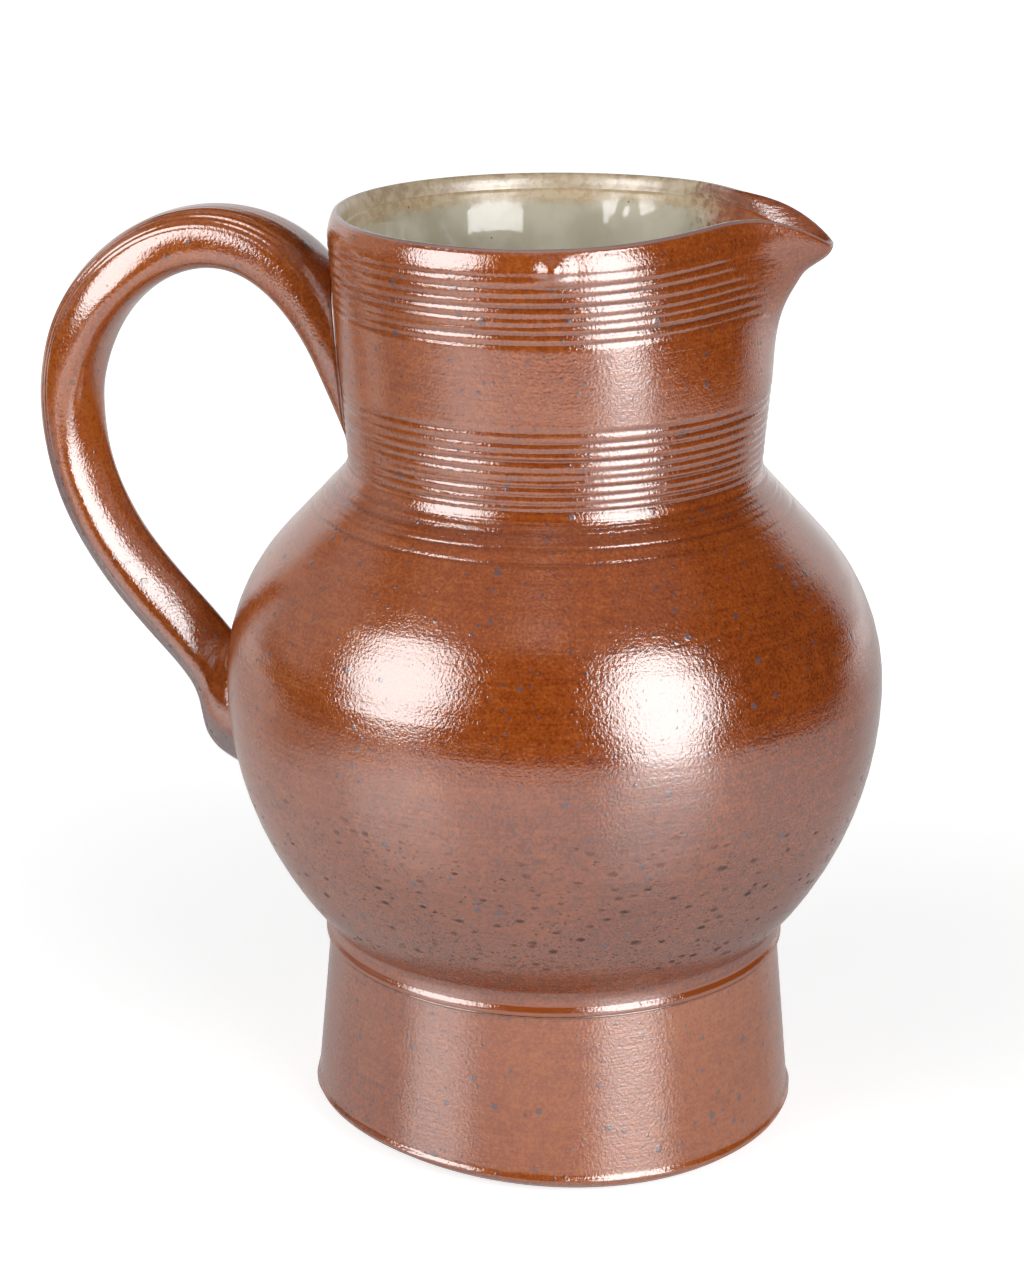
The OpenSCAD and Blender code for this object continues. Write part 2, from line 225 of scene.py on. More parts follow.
def combed(z, angle, lines, depth, width, fade):
    # each line is a hollow across its height; it climbs towards the spout and strays in height and depth
    drift = comb["lean"] * np.cos(angle) + wander(angle, z, comb["drift"], 5)
    share = 1 - fade * (1 - bump(aside(angle, comb["strongAngle"]), comb["strongWidth"]))
    least, chance = comb["depthRange"]
    total = np.zeros(np.broadcast_shapes(np.shape(z), angle.shape))
    for k, line in enumerate(lines):
        own = 1 + sum(part * np.sin(turns * angle + shift * k) for turns, shift, part in comb["depthWaves"])
        own = own * share * (least + chance * (0.618 * k % 1))  # steps of the golden ratio spread evenly
        total -= own * bump(z - line - drift - comb["stray"] * np.sin(3 * angle + 2.1 * k), width)
    return depth * total


# the pulled spout: lip and pinches are hills round the neck, in degrees from the spout's line
spout = {
    "reach": 18.3,
    "halfAngle": 15.5,
    "dip": 8.3,
    "dipAngle": 10.4,
    "pull": 44,  # height below the rim at which the pull begins
    "curl": 3.23,
    "pinchDepth": 6.7,
    "pinchRise": 2.4,
    "pinchAngle": 27,
    "pinchWidth": 42,
    "pinchCurl": 1.4,
    "turn": 5.7,  # how far the lip is turned aside, degrees
    "farDrop": 0.07,  # how much less the rim rises on the far side
    "roll": 1.17,  # swelling under the lip's edge
    "rollDepth": 3.65,
    "rollWidth": 2.93,
    "rollHollow": 0.5,  # depth of the hollow below it, as a share of the swelling
    "rollHollowDrop": 5.567,
}
pullZ = rimZ - spout["pull"]


def besideLip(angle):  # degrees from the line of the lip
    return np.degrees(np.arccos(np.cos(angle - math.radians(spout["turn"]))))


def lipRoll(depth, angle):  # a swelling under the lip's edge with a shallower hollow below it
    swell = bump(depth - spout["rollDepth"], spout["rollWidth"])
    hollow = bump(depth - spout["rollDepth"] - spout["rollHollowDrop"], spout["rollWidth"])
    swell = swell - spout["rollHollow"] * hollow
    return spout["roll"] * bump(besideLip(angle), spout["halfAngle"]) * swell


def collar(inset, height, angle):
    # the neck's cone, drawn out at the lip by height to the power of curl and pressed in at the pinches by
    # a lower power of it; height runs from 0 where the pull begins to 1 at the rim, which rises at the
    # pinches and dips at the lip; inset is counted inwards from the outer face
    turn = besideLip(angle)
    lip, pinch = bump(turn, spout["halfAngle"]), bump(turn - spout["pinchAngle"], spout["pinchWidth"])
    rise = spout["pinchRise"] * (1 - spout["farDrop"] * smooth(np.sin(angle), -0.1, 0.5))
    top = rimZ + rise * pinch - spout["dip"] * bump(turn, spout["dipAngle"])
    pulled = np.maximum(height, 0)
    radius = neckAt(pullZ + height * spout["pull"]) - inset
    radius = radius + pulled ** spout["curl"] * spout["reach"] * lip
    radius = radius - pulled ** spout["pinchCurl"] * spout["pinchDepth"] * pinch
    return rings(radius, pullZ + height * (top - pullZ), angle)


def belowRim(depth):  # height in the collar of a point that far below the rim
    return 1 - depth / spout["pull"]


# the rim: the wall leans in over its last few millimetres, then turns over an oval edge, and the inner face
# opens like a funnel
rim = {
    "leanHeight": 8,
    "leanRadius": 13.6,
    "edgeWidth": 1.9,  # half the width of the oval edge
    "edgeHeight": 3.6,
    "funnel": 2.3,  # how far the inner face opens
    "funnelDepth": 24,
}


def rimLean(depth):  # inset of the outer face: square of the height into the lean over twice its radius
    return np.maximum(rim["leanHeight"] - depth, 0) ** 2 / (2 * rim["leanRadius"])


edgeDepth = 1.0
for step in range(12):  # the oval edge starts where its slope meets the slope of the lean
    leanSlope = (rim["leanHeight"] - edgeDepth) / rim["leanRadius"]
    edgeTurn = math.atan(rim["edgeHeight"] / rim["edgeWidth"] * leanSlope)
    edgeDepth = rim["edgeHeight"] * (1 - math.sin(edgeTurn))
edgeMiddle = float(rimLean(edgeDepth)) + rim["edgeWidth"] * math.cos(edgeTurn)
innerEdge = edgeMiddle + rim["edgeWidth"]
innerWall = innerEdge + rim["funnel"]


def innerInset(depth):  # inset of the inner face: the funnel's slope dies out with depth
    t = np.clip((depth - rim["edgeHeight"]) / rim["funnelDepth"], 0, 1)
    return innerEdge + rim["funnel"] * (1 - (1 - t) ** 2)


roundAngle = np.linspace(0, 2 * math.pi, jug["around"], endpoint=False)[None, :]
fromSpout = besideLip(roundAngle)

# a bead of glaze under the rim
drip = {"angle": -79, "drop": 4.8, "height": 2.0, "width": 3.0, "length": 3.6}


def dripHill(z, angle):  # one hill, longer down the wall than it is wide
    across = np.radians(aside(angle, drip["angle"])) * jug["rimRadius"]
    return drip["height"] * bump(across, drip["width"]) * bump(z - rimZ + drip["drop"], drip["length"])


def insideProfile(depth, base):
    # the inner face at a depth below the outer one, from the start of the pull down to the floor's corner,
    # with a rounded corner on to the flat floor
    lowIn, highIn = lowArc - depth, highArc - depth
    turnIn = np.array([bellyRadius - highArc + highIn * math.cos(shoulderTurn),
                       bellyZ + highIn * math.sin(shoulderTurn)])
    neckIn = jug["neckRadius"] - depth
    creaseIn = turnIn[1] + (turnIn[0] - neckIn) * shoulderCot
    z = np.concatenate([np.linspace(pullZ - 1, creaseIn + 1, 12),
                        np.linspace(creaseIn, base + jug["floorRound"], 44)])
    low = bellyRadius - lowArc + np.sqrt(np.maximum(lowIn ** 2 - (z - bellyZ) ** 2, 0))
    high = bellyRadius - highArc + np.sqrt(np.maximum(highIn ** 2 - (z - bellyZ) ** 2, 0))
    cone = neckIn + (creaseIn - z) * math.tan(shoulderTurn)
    radius = np.select([z > creaseIn, z > turnIn[1], z > bellyZ], [neckAt(z) - depth, cone, high], low)
    corner = bellyRadius - lowArc + math.sqrt(lowIn ** 2 - (base - bellyZ) ** 2)
    t = np.linspace(0, 1, 12)[1:]
    cornerZ = base + jug["floorRound"] * (1 - t) ** 2
    cornerR = (1 - t) ** 2 * radius[-1] + 2 * t * (1 - t) * corner + t ** 2 * (corner - jug["floorRound"])
    flat = np.linspace(corner - jug["floorRound"], 0, 8)[1:-1]
    return (np.concatenate([radius, cornerR, flat]),
            np.concatenate([z, cornerZ, np.full(len(flat), base)]))


def throwBody():
    angle = roundAngle
    # the bead: a round toe, an upright face, an S-shaped slope in to an upright hollow, then a hollow curve
    # that meets the belly along the belly's own slope
    toe, outer, inner = jug["beadFoot"], jug["collarRadius"], jug["hollowRadius"]
    low = np.radians(np.linspace(-90, 0, 6))
    toeArc = np.stack([outer - toe + toe * np.cos(low), seatZ + toe + toe * np.sin(low)], 1)
    t = np.linspace(0, 1, 13)[:, None]
    rise = t + jug["slopeBow"] * t * t * (1 - t)
    rise = seatZ + jug["beadFace"] + (jug["flareRise"] - jug["beadFace"]) * rise
    slope = np.concatenate([outer + (inner - outer) * smooth(t, 0, 1), rise], 1)
    # how far the belly's slope, carried on down, runs until it is above the hollow
    reachIn = (wallAt(coveZ) - inner) / (wallAt(coveZ) - wallAt(coveZ - 1))
    cove = (1 - t) ** 2 * np.array([inner, seatZ + jug["hollowRise"]])
    cove = cove + 2 * t * (1 - t) * np.array([inner, coveZ - reachIn])
    cove = cove + t ** 2 * np.array([wallAt(coveZ), coveZ])
    bead = np.concatenate([toeArc, slope, cove[:-1]])
    under = np.linspace(6, bead[0, 0], 6)[:-1]
    base = rings(upright(under), seatZ, angle)
    ledge = rings(upright(bead[:, 0]), upright(bead[:, 1]), angle)

    # rows lie closer where there are lines
    z = upright(np.concatenate([np.linspace(coveZ, bellyZ + 14, 48),
                                np.linspace(bellyZ + 14.6, creaseZ - 12, 44),
                                np.linspace(creaseZ - 11.6, creaseZ - 0.3, 34)]))
    lines = combed(z, angle, shoulderLines, comb["shoulderDepth"], comb["shoulderWidth"], 0)
    # the depth of each line, kept so that the glaze paints shade into the grooves
    shadedGrooves = [-lines / comb["shoulderDepth"]]
    lines += combed(z, angle, faintLines, comb["faintDepth"], comb["faintWidth"], comb["fade"])
    # throwing marks: a low spiral ridge that climbs the belly, a wave of its height over the pitch
    spiral = jug["spiralHeight"] * np.cos(2 * math.pi * z / jug["spiralPitch"] + angle)
    spiral = spiral * smooth(z, coveZ, coveZ + 20)
    hip = jug["hipHeight"] * bump(z - seatZ - jug["hipRise"], jug["hipWidth"])
    belly = rings(wallAt(z) + lines + spiral + hip + wander(angle, z, jug["bellyWander"], 1), z, angle)

    z = upright(np.linspace(creaseZ, pullZ - 0.3, 92))
    lines = combed(z, angle, lowLines, comb["depth"], comb["width"], comb["fade"])
    shadedGrooves.append(-lines / comb["depth"])
    neck = rings(wallAt(z) + lines + wander(angle, z, jug["neckWander"], 2), z, angle)

    z = upright(np.concatenate([np.linspace(pullZ, highLines[-1] - 3.4, 14),
                                np.linspace(highLines[-1] - 3, rimZ - rim["leanHeight"] + 3.4, 74),
                                np.linspace(rimZ - rim["leanHeight"] + 3.7, rimZ - edgeDepth, 24)[:-1]]))
    lines = combed(z, angle, highLines, comb["depth"], comb["width"], comb["fade"])
    ends = np.interp(z, [highLines[-1], highLines[0]], comb["lipEnd"])
    lines = lines * smooth(fromSpout - ends, -6, 5)
    shadedGrooves.append(-lines / comb["depth"])
    lines = lines + dripHill(z, angle) + lipRoll(rimZ - z, angle)
    lines = lines + wander(angle, z, jug["neckWander"], 2)
    upper = collar(rimLean(rimZ - z) - lines, belowRim(rimZ - z), angle)

    turn = upright(np.linspace(edgeTurn, math.pi, 22))
    over = rim["edgeHeight"] * (1 - np.sin(turn))
    swell = lipRoll(over, angle) * np.sqrt(np.clip(np.cos(turn), 0, 1))
    edge = collar(edgeMiddle - rim["edgeWidth"] * np.cos(turn) - swell, belowRim(over), angle)
    down = upright(np.linspace(rim["edgeHeight"] + 0.8, spout["pull"], 24))
    inner = collar(innerInset(down), belowRim(down), angle)
    radius, z = insideProfile(innerWall, floorZ)
    inside = rings(upright(radius), upright(z), angle)
    blocks = [base, ledge, belly, neck, upper, edge, inner, inside]
    rows = np.concatenate(blocks)
    # zone: 0 on the outer face, rising from 1 to 2 over the rim, 2 inside
    zone = np.concatenate([np.zeros(sum(len(b) for b in blocks[:5])), np.linspace(1, 2, len(edge)),
                           np.full(len(inner) + len(inside), 2.0)])
    before, after = [np.zeros_like(np.concatenate(part)[..., 0]) for part in (blocks[:2], blocks[5:])]
    groove = np.concatenate([before, *shadedGrooves, after])
    return surface("thrownBody", rows, start=(0, 0, seatZ), end=(0, 0, floorZ), zone=upright(zone),
                   spoutTurn=fromSpout, groove=groove)


liner = {
    "thickness": 0.6,
    "edgeDrop": 0.4,  # where the coat begins, below the rim's edge
    "fadeDepth": 5,  # the depth over which it grows to its thickness
    "bite": 0.02,  # how far its back reaches into the wall
    "blobAngle": 80,  # a thick drop of glaze under the rim
    "blobDrop": 10.5,
    "blobHeight": 1.6,
    "blobWidth": 3.4,
    "blobLength": 4.76,
}


def pourLiner():
    # the coat follows the inner face: its back lies on the wall, and its front stands off by the coat's
    # thickness, which thins to nothing at the edge under the rim
    angle = roundAngle
    edge = rim["edgeHeight"] + liner["edgeDrop"]
    down = upright(np.linspace(edge, spout["pull"], 40))
    coat = liner["thickness"] * smooth(down, edge, edge + liner["fadeDepth"])
    across = np.radians(aside(angle, liner["blobAngle"])) * jug["rimRadius"]
    blob = bump(across, liner["blobWidth"]) * bump(down - liner["blobDrop"], liner["blobLength"])
    blob = liner["blobHeight"] * blob
    front = collar(innerInset(down) + coat + blob, belowRim(down), angle)
    back = collar(innerInset(down) - liner["bite"], belowRim(down), angle)
    radius, z = insideProfile(innerWall + liner["thickness"], floorZ + liner["thickness"])
    lower = rings(upright(radius), upright(z), angle)
    radius, z = insideProfile(innerWall - liner["bite"], floorZ - liner["bite"])
    lowerBack = rings(upright(radius), upright(z), angle)
    rows = np.concatenate([lowerBack[::-1], back[::-1], front, lower])
    drop = np.concatenate([np.full(len(lowerBack), spout["pull"]), down[::-1, 0], down[:, 0],
                           np.full(len(lower), spout["pull"])])
    return surface("linerGlaze", rows, start=(0, 0, floorZ - liner["bite"]),
                   end=(0, 0, floorZ + liner["thickness"]), drop=upright(drop), spoutTurn=fromSpout)


foot = {
    "topRadius": 63.6,
    "wall": 8.5,
    "ridgeRise": 3.4,  # middle of the rolled ridge above the table
    "ridgeHeight": 0.6,
    "ridgeWidth": 0.85,
    "dents": ((9, 1, 0.5), (23, 2.6, 0.35), (41, 0, 0.25)),  # dents in the ridge: waves round, shift, size
    "dentShare": 0.3,
    "bevel": 3.0,  # how far the edge under the ridge is drawn in
    "bevelRun": (-0.6, 2.4),  # heights between which it runs out
    "warpLift": 3.4,  # how far the foot has warped off the table
    "warpAngle": -128,
    "warpWidth": 52,
    "warpRise": 30,  # height at which the warp has died out
    "wander": 0.15,  # how far wall and slip stray from round
    "around": 256,
}


def turnFoot():
    # a straight flare with a rolled ridge above a bevel, and an inner wall that keeps its distance from it;
    # the warp lifts one side of the base and dies out up the wall
    angle = np.linspace(0, 2 * math.pi, foot["around"], endpoint=False)[None, :]
    z = upright(np.concatenate([np.linspace(0, 8, 40), np.linspace(8.3, footTop, 120)]))
    flare = baseRadius - foot["ridgeHeight"] + (foot["topRadius"] - baseRadius) * z / footTop
    ridge = foot["ridgeHeight"] * bump(z - foot["ridgeRise"], foot["ridgeWidth"])
    dents = sum(size * np.sin(turns * angle + shift) for turns, shift, size in foot["dents"])
    flare = flare - foot["bevel"] * (1 - smooth(z, *foot["bevelRun"]))
    uneven = wander(angle, z, foot["wander"], 3) * smooth(footTop - z, 0, 6)
    outside = flare + ridge * (1 + foot["dentShare"] * dents) + uneven
    inside = flare[::-4] - foot["wall"]
    insideZ = z[::-4]
    radius = np.concatenate([outside, np.broadcast_to(inside, (len(inside), foot["around"]))])
    height = np.concatenate([z, insideZ])
    lift = foot["warpLift"] * bump(aside(angle, foot["warpAngle"]), foot["warpWidth"])
    height = height + lift * np.clip(1 - height / foot["warpRise"], 0, 1)
    return surface("pedestalFoot", rings(radius, height, angle), closed=True)


def squeezeSlip():
    # slip squeezed out of the seam between foot and body: a flat ring with a round, uneven outer edge
    angle = np.linspace(0, 2 * math.pi, foot["around"], endpoint=False)[None, :]
    half = jug["slip"] / 2
    turn = upright(np.linspace(-90, 90, 9))
    bead = wander(angle, 0 * turn, foot["wander"], 4)
    radius = foot["topRadius"] + bead + half * np.cos(np.radians(turn))
    height = footTop + half + half * np.sin(np.radians(turn)) + 0 * angle
    inner = np.full((1, foot["around"]), foot["topRadius"] - foot["wall"])
    radius = np.concatenate([inner, radius, inner])
    height = np.concatenate([0 * inner + footTop, height, 0 * inner + seatZ])
    return surface("footSlip", rings(radius, height, angle), closed=True)


strap = {
    "reachRise": 9.5,  # height of the back above the crease
    "thickness": 16.8,
    "gripLift": 2.5,
    "width": 22,
    "rootWidth": 28,
    "tailWidth": 25,
    "taper": 1,  # how much narrower it is at the heel
    "square": (0.77, 1.2),  # its section over the crown and lower down: under 1 it is boxy, over 1 sharp
    "squareRun": (0.34, 0.5),  # part of the run, from root to tail, over which it changes
    "crownWedge": 0.2,  # how much the section widens towards the grip over the crown
    "lowWedge": 0.35,  # and towards the back on the way down
    "rootTop": 51,
    "rootFoot": 2,
    "springOut": 30,
    "springUp": 34.5,
    "tailTop": 2,
    "tailFoot": 36,
    "heelProud": 15.5,
    "heelDrop": 9,
    "heelLean": 55.5,
    "grooveAngle": 50,  # the groove beside each edge of the back, round the section from the back
    "grooveDepth": 0.12,
    "grooveWidth": 6,
    "ridgeAngle": 34,
    "ridgeHeight": 0.14,
    "ridgeWidth": 9,
    "fineHeight": 0.1,  # finger lines along the back
    "fineCount": 34,
    "lumps": ((3, 21, 0.06), (2, -27, 0.06), (5, 63, 0.02)),  # waves round, radians along, size
    "sway": 1.5,  # how far the crown swings towards the camera's side
    "swayAt": 0.3,
    "swayWidth": 0.085,
    "bend": 0.035,  # part of the run over which an end bends on to the wall
    "around": 208,
}
# how far the curves of the strap run on before they turn
runs = {
    "backRise": 48, "backFall": 41.5, "gripRise": 30, "gripFall": 37.5, "leanPull": 20.5, "heelPull": 13.5,
    "gripPull": 21, "webOut": 21, "webUp": 81, "tailOut": 24, "tailUp": 6.5,
    "heelShare": 0.93,  # part of the grip line that is done when the back line reaches the heel
    "rootShare": 0.4,  # part of the upper run over which the root narrows
}


def onWall(z, off):  # a point of the handle's plane on the outer wall, standing off by that much
    return np.array([-(float(wallAt(z)) + off), z])


def bezier(points, t):  # a cubic curve from the first of four points to the last, drawn by the other two
    a, b, c, d = [np.asarray(p, float) for p in points]
    t = upright(t)
    return (1 - t) ** 3 * a + 3 * t * (1 - t) ** 2 * b + 3 * t ** 2 * (1 - t) * c + t ** 3 * d


def strapLines():
    # back line and grip line of the strap in the plane y = 0, with the strap's width at each step
    back = np.array([-handleReach, creaseZ + strap["reachRise"]])
    grip = back + [strap["thickness"], strap["gripLift"]]
    heelZ = bellyZ - strap["heelDrop"]
    heel = onWall(heelZ, strap["heelProud"])
    lean = np.array([-math.cos(math.radians(strap["heelLean"])), math.sin(math.radians(strap["heelLean"]))])
    rootTip, rootStart = [onWall(creaseZ + strap[k], jug["slip"]) for k in ("rootTop", "rootFoot")]
    tailTip, tailStart = [onWall(bellyZ + k, jug["slip"]) for k in (-strap["tailFoot"], strap["tailTop"])]
    upper, lower, tail = [np.linspace(0, 1, k) for k in (110, 100, 44)]
    gripLower = [grip, grip - [0, runs["gripFall"]], tailStart + runs["gripPull"] * lean, tailStart]
    crown = [rootTip, rootTip + [-strap["springOut"], strap["springUp"]], back + [0, runs["backRise"]], back]
    fall = [back, back - [0, runs["backFall"]], heel + runs["leanPull"] * lean, heel]
    end = [heel, heel - runs["heelPull"] * lean, tailTip + [-runs["tailOut"], runs["tailUp"]], tailTip]
    web = [rootStart, rootStart + [-runs["webOut"], runs["webUp"]], grip + [0, runs["gripRise"]], grip]
    backLine = np.concatenate([bezier(crown, upper[:-1]), bezier(fall, lower[:-1]), bezier(end, tail)])
    gripLine = np.concatenate([
        bezier(web, upper[:-1]),
        bezier(gripLower, lower[:-1] * runs["heelShare"]),
        bezier(gripLower, runs["heelShare"] + (1 - runs["heelShare"]) * tail)])
    narrowed = smooth(upper[:-1], 0, runs["rootShare"])
    width = np.concatenate([
        strap["rootWidth"] + (strap["width"] - strap["rootWidth"]) * narrowed,
        strap["width"] - strap["taper"] * lower[:-1],
        strap["width"] - strap["taper"] + (strap["tailWidth"] - strap["width"] + strap["taper"]) * tail])
    return backLine, gripLine, width


sectionAngle = np.linspace(0, 2 * math.pi, strap["around"], endpoint=False)[None, :]


def footprint(gripZ, backZ, width, grow, spread, off):
    # an oval laid on the wall: its height runs from gripZ to backZ and its width across, scaled by grow,
    # widened by spread and lifted off the wall
    half = (backZ - gripZ) / 2
    y = (width / 2 * grow + spread) * np.sin(sectionAngle)
    z = (gripZ + backZ) / 2 + (half * grow + math.copysign(1, half) * spread) * np.cos(sectionAngle)
    radius = wallAt(z) + off
    return np.stack([-np.sqrt(radius ** 2 - y ** 2), y, z + 0 * y], -1)


def upperPrint(grow, spread, off):  # the root's oval on the neck
    return footprint(creaseZ + strap["rootFoot"], creaseZ + strap["rootTop"], strap["rootWidth"],
                     grow, spread, off)


def lowerPrint(grow, spread, off):  # the tail's oval on the belly
    return footprint(bellyZ + strap["tailTop"], bellyZ - strap["tailFoot"], strap["tailWidth"],
                     grow, spread, off)


def pullHandle():
    # an oval section carried along the two lines: the back has a ridge and a groove beside each edge and
    # fine finger lines, its sides lean by the wedge, and the ends are bent to lie on the jug's wall
    backLine, gripLine, width = strapLines()
    middle, half = (backLine + gripLine) / 2, (backLine - gripLine) / 2
    reach = np.linalg.norm(half, axis=1)[:, None]
    a = sectionAngle
    turn = np.degrees(np.arccos(np.cos(a)))
    step = np.linspace(0, 1, len(middle))[:, None]  # 0 at the root, 1 at the tail
    ends = smooth(step, 0, 0.1) * smooth(1 - step, 0, 0.08)
    relief = strap["ridgeHeight"] * bump(turn - strap["ridgeAngle"], strap["ridgeWidth"])
    relief = relief - strap["grooveDepth"] * bump(turn - strap["grooveAngle"], strap["grooveWidth"])
    # finger lines: waves across the back that wind, fade at its sides and middle, and swell near the root
    fine = strap["fineHeight"] * np.cos(np.radians(turn) * strap["fineCount"] + 2 * np.sin(7 * step))
    fine = fine * smooth(72 - turn, 0, 16) * (0.25 + 0.75 * smooth(turn, 14, 28))
    fine = fine * (1 + 0.6 * np.sin(31 * step + turn / 9)) * (1 + 0.6 * smooth(0.3 - step, 0, 0.2))
    lumps = sum(size * np.cos(turns * a + along * step) for turns, along, size in strap["lumps"])
    relief = (relief * (0.75 + 0.35 * np.cos(11 * step + 0.5)) + fine) * ends + lumps * smooth(ends, 0, 1)
    # a wider section towards the grip over the crown, and towards the back on the way down
    onCrown = (0.3 * smooth(step, 0.05, 0.14) + 0.7 * smooth(step, 0.2, 0.3)) * smooth(0.46 - step, 0, 0.1)
    onFall = smooth(step, 0.39, 0.52) * smooth(1 - step, 0.06, 0.18)
    wedge = strap["crownWedge"] * onCrown - strap["lowWedge"] * onFall
    # sine and cosine to a power make the oval boxy or sharp
    boxy, sharp = strap["square"]
    power = boxy + (sharp - boxy) * smooth(step, *strap["squareRun"])
    outwards, across = [np.sign(side) * np.abs(side) ** power for side in (np.cos(a), np.sin(a))]
    scale = (1 + relief / np.maximum(reach, 3)) * outwards
    rows = np.empty((len(middle), strap["around"], 3))
    rows[..., 0] = middle[:, :1] + half[:, :1] * scale
    rows[..., 1] = (width[:, None] / 2 + relief) * across * (1 - wedge * outwards)
    rows[..., 1] -= strap["sway"] * bump(step - strap["swayAt"], strap["swayWidth"])
    rows[..., 2] = middle[:, 1:] + half[:, 1:] * scale
    fadeTop, fadeTail = [((1 - np.clip(along / strap["bend"], 0, 1)) ** 2)[..., None]
                         for along in (step, 1 - step)]
    rows = rows + fadeTop * (upperPrint(1, 0, jug["slip"]) - rows[:1]) + fadeTail * (
        lowerPrint(1, 0, jug["slip"]) - rows[-1:])
    caps = np.linspace(0.1, 0.9, 5)
    rows = np.concatenate([*[upperPrint(g, 0, jug["slip"]) for g in caps], rows,
                           *[lowerPrint(g, 0, jug["slip"]) for g in caps[::-1]]])
    run = np.concatenate([0 * caps, step[:, 0], 0 * caps + 1])
    return surface("strapHandle", rows, start=rows[0].mean(0), end=rows[-1].mean(0),
                   run=upright(run), back=np.cos(a))


lute = {
    "gap": 0.05,  # between pad and wall
    "spread": 0.7,  # how far the pad shows round the strap
    "bead": ((0.15, 0.0), (0.35, 0.2), (0.3, 0.45), (0.0, 0.7)),  # reach and height of its round edge
}


def lutePad(name, printOn):
    # slip between strap and wall: an oval pad that follows the wall, with a round uneven bead squeezed out
    grow = np.linspace(0.15, 1, 8)
    uneven = 0.5 + 0.3 * np.cos(5 * sectionAngle + 1) + 0.2 * np.cos(11 * sectionAngle)
    bead = [printOn(1, lute["spread"] + uneven * reach, lute["gap"] + off) for reach, off in lute["bead"]]
    rows = np.concatenate([*[printOn(g, 0, lute["gap"]) for g in grow], *bead,
                           *[printOn(g, 0, jug["slip"]) for g in grow[::-1]]])
    return surface(name, rows, start=rows[0].mean(0), end=rows[-1].mean(0))


# nodes of the materials
def place(tree, kind, inputs=None, **settings):  # a node with its settings, its sockets set or linked
    node = tree.nodes.new(kind)
    for key, value in settings.items():
        setattr(node, key, value)
    for key, value in (inputs or {}).items():
        if isinstance(value, bpy.types.NodeSocket):
            tree.links.new(value, node.inputs[key])
        else:
            node.inputs[key].default_value = value
    return node


def maths(tree, operation, first, second=0.0, third=0.0):  # one sum of up to three values
    return place(tree, "ShaderNodeMath", {0: first, 1: second, 2: third}, operation=operation).outputs[0]


def between(tree, value, low, high, bottom=0.0, top=1.0):  # from bottom to top in a smooth step
    ranges = {"Value": value, "From Min": low, "From Max": high, "To Min": bottom, "To Max": top}
    return place(tree, "ShaderNodeMapRange", ranges, interpolation_type="SMOOTHSTEP").outputs["Result"]


def mixed(tree, factor, first, second):  # from the first colour to the second by the factor
    return place(tree, "ShaderNodeMix", {0: factor, 6: first, 7: second}, data_type="RGBA").outputs[2]


def stretched(tree, vector, scale, turn=(0, 0, 0)):  # a point scaled along each axis, then turned
    return place(tree, "ShaderNodeMapping", {"Vector": vector, "Scale": scale, "Rotation": turn}).outputs[0]


def grain(tree, vector, size, detail=2.0, rough=0.5):  # noise whose features have that size in millimetres
    return place(tree, "ShaderNodeTexNoise", {"Vector": vector, "Scale": 1 / size, "Detail": detail,
                 "Roughness": rough}).outputs["Fac"]


def specks(tree, vector, spacing, radius, share):
    # round spots scattered one to a cell: each has its own size, and only a share of the cells have one
    cells = place(tree, "ShaderNodeTexVoronoi", {"Vector": vector, "Scale": 1 / spacing})
    parts = place(tree, "ShaderNodeSeparateColor", {0: cells.outputs["Color"]})
    size = maths(tree, "MULTIPLY_ADD", parts.outputs[0], 0.65 * radius / spacing, 0.35 * radius / spacing)
    shown = maths(tree, "LESS_THAN", parts.outputs[1], share)
    ratio = maths(tree, "DIVIDE", cells.outputs["Distance"], size)
    return maths(tree, "MULTIPLY", between(tree, ratio, 1.0, 0.45), shown)


def field(tree, name):  # a number that the mesh keeps for each of its points
    return place(tree, "ShaderNodeAttribute", attribute_name=name).outputs["Fac"]


def newMaterial(name):  # an empty material, its node tree, and the point on the piece in millimetres
    material = bpy.data.materials.new(name)
    material.use_nodes = True
    tree = material.node_tree
    tree.nodes.clear()
    point = stretched(tree, place(tree, "ShaderNodeTexCoord").outputs["Object"], (1 / mm, 1 / mm, 1 / mm))
    return material, tree, point


def skin(tree, colour, rough, relief, **sockets):  # the shader, with its relief in millimetres
    normal = place(tree, "ShaderNodeBump", {"Strength": 1.0, "Distance": mm, "Height": relief}).outputs[0]
    sockets.update({"Base Color": colour, "Roughness": rough, "Normal": normal})
    shader = place(tree, "ShaderNodeBsdfPrincipled", sockets)
    place(tree, "ShaderNodeOutputMaterial", {"Surface": shader.outputs[0]})


def shade(*rgb):  # a colour as a picture editor shows it, turned into linear light
    c = np.array(rgb) / 255
    return (*np.where(c <= 0.04045, c / 12.92, ((c + 0.055) / 1.055) ** 2.4), 1.0)


glaze = {
    "deep": shade(112, 46, 8),
    "body": shade(143, 66, 16),
    "light": shade(166, 87, 32),
    "speck": shade(68, 66, 75),
    "pit": shade(54, 33, 27),
    "lilacWearAndSheen": shade(120, 96, 95),  # grey-lilac wear on the strap, partly a painted reflection of the pale table
    "grooveShade": shade(84, 32, 10),  # painted shade in the grooves
    "seam": shade(140, 66, 18),
    "rimLine": shade(150, 128, 124),
    "tan": (shade(176, 150, 116), shade(204, 184, 152)),
    "ior": 2.257,
    "peelSize": 0.8,
    "peelHeight": 0.1,
    # spots: spacing, size, and the share of the cells that have one
    "bigSpecks": (6.0, 1.5, 0.6),
    "smallSpecks": (2.8, 0.75, 0.6),
    "speckHeight": 0.035,
    "bigPits": (2.5, 1.25, 0.5),
    "smallPits": (0.9, 0.46, 0.5),
    "pitDepth": 0.1,
    "wornSpots": (2.2, 1.0, 0.6),
}


